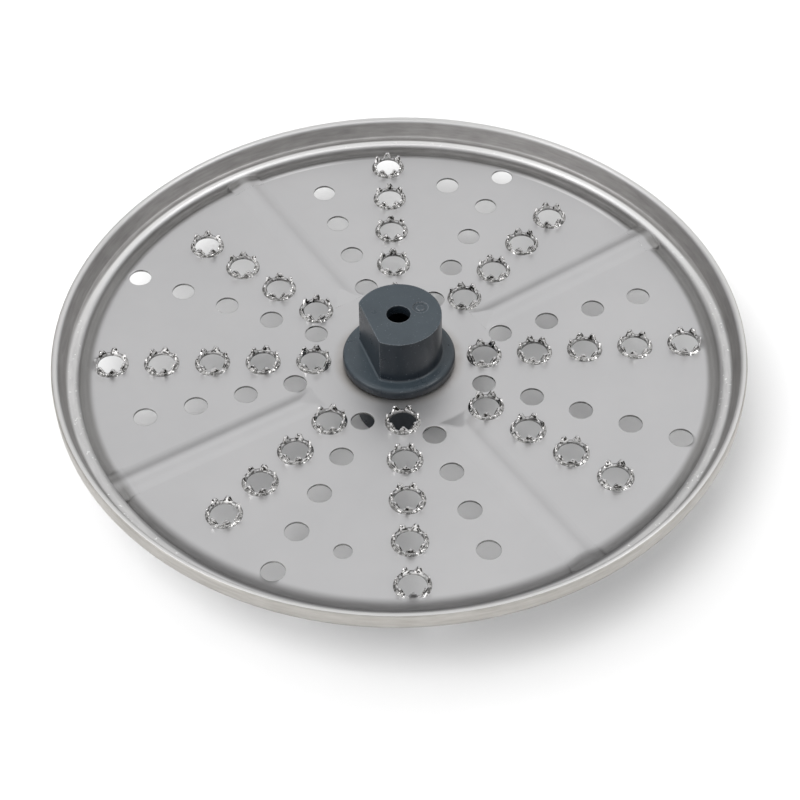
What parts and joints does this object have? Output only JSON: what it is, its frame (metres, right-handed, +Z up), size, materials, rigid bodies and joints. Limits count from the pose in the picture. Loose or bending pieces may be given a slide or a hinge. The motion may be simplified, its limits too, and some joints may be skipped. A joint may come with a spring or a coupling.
{
  "type": "grater disc",
  "caption": "Round grating disc of pressed steel with an up-turned folded rim, rows of toothed and plain holes and a moulded plastic drive hub.",
  "frame": {"origin": "centre of the hub's foot, on the plane that the disc stands on", "axes": "+Z up along the drive axis, +X to the right of the picture along a toothed row, the viewer at -Y"},
  "size_m": [0.175, 0.175, 0.0346],
  "materials": {
    "steel": "satin",
    "plastic": "moulded, slightly glossy"
  },
  "bodies": {
    "root": {"grater_plate": "steel", "hub": "plastic"}
  },
  "joints": []
}
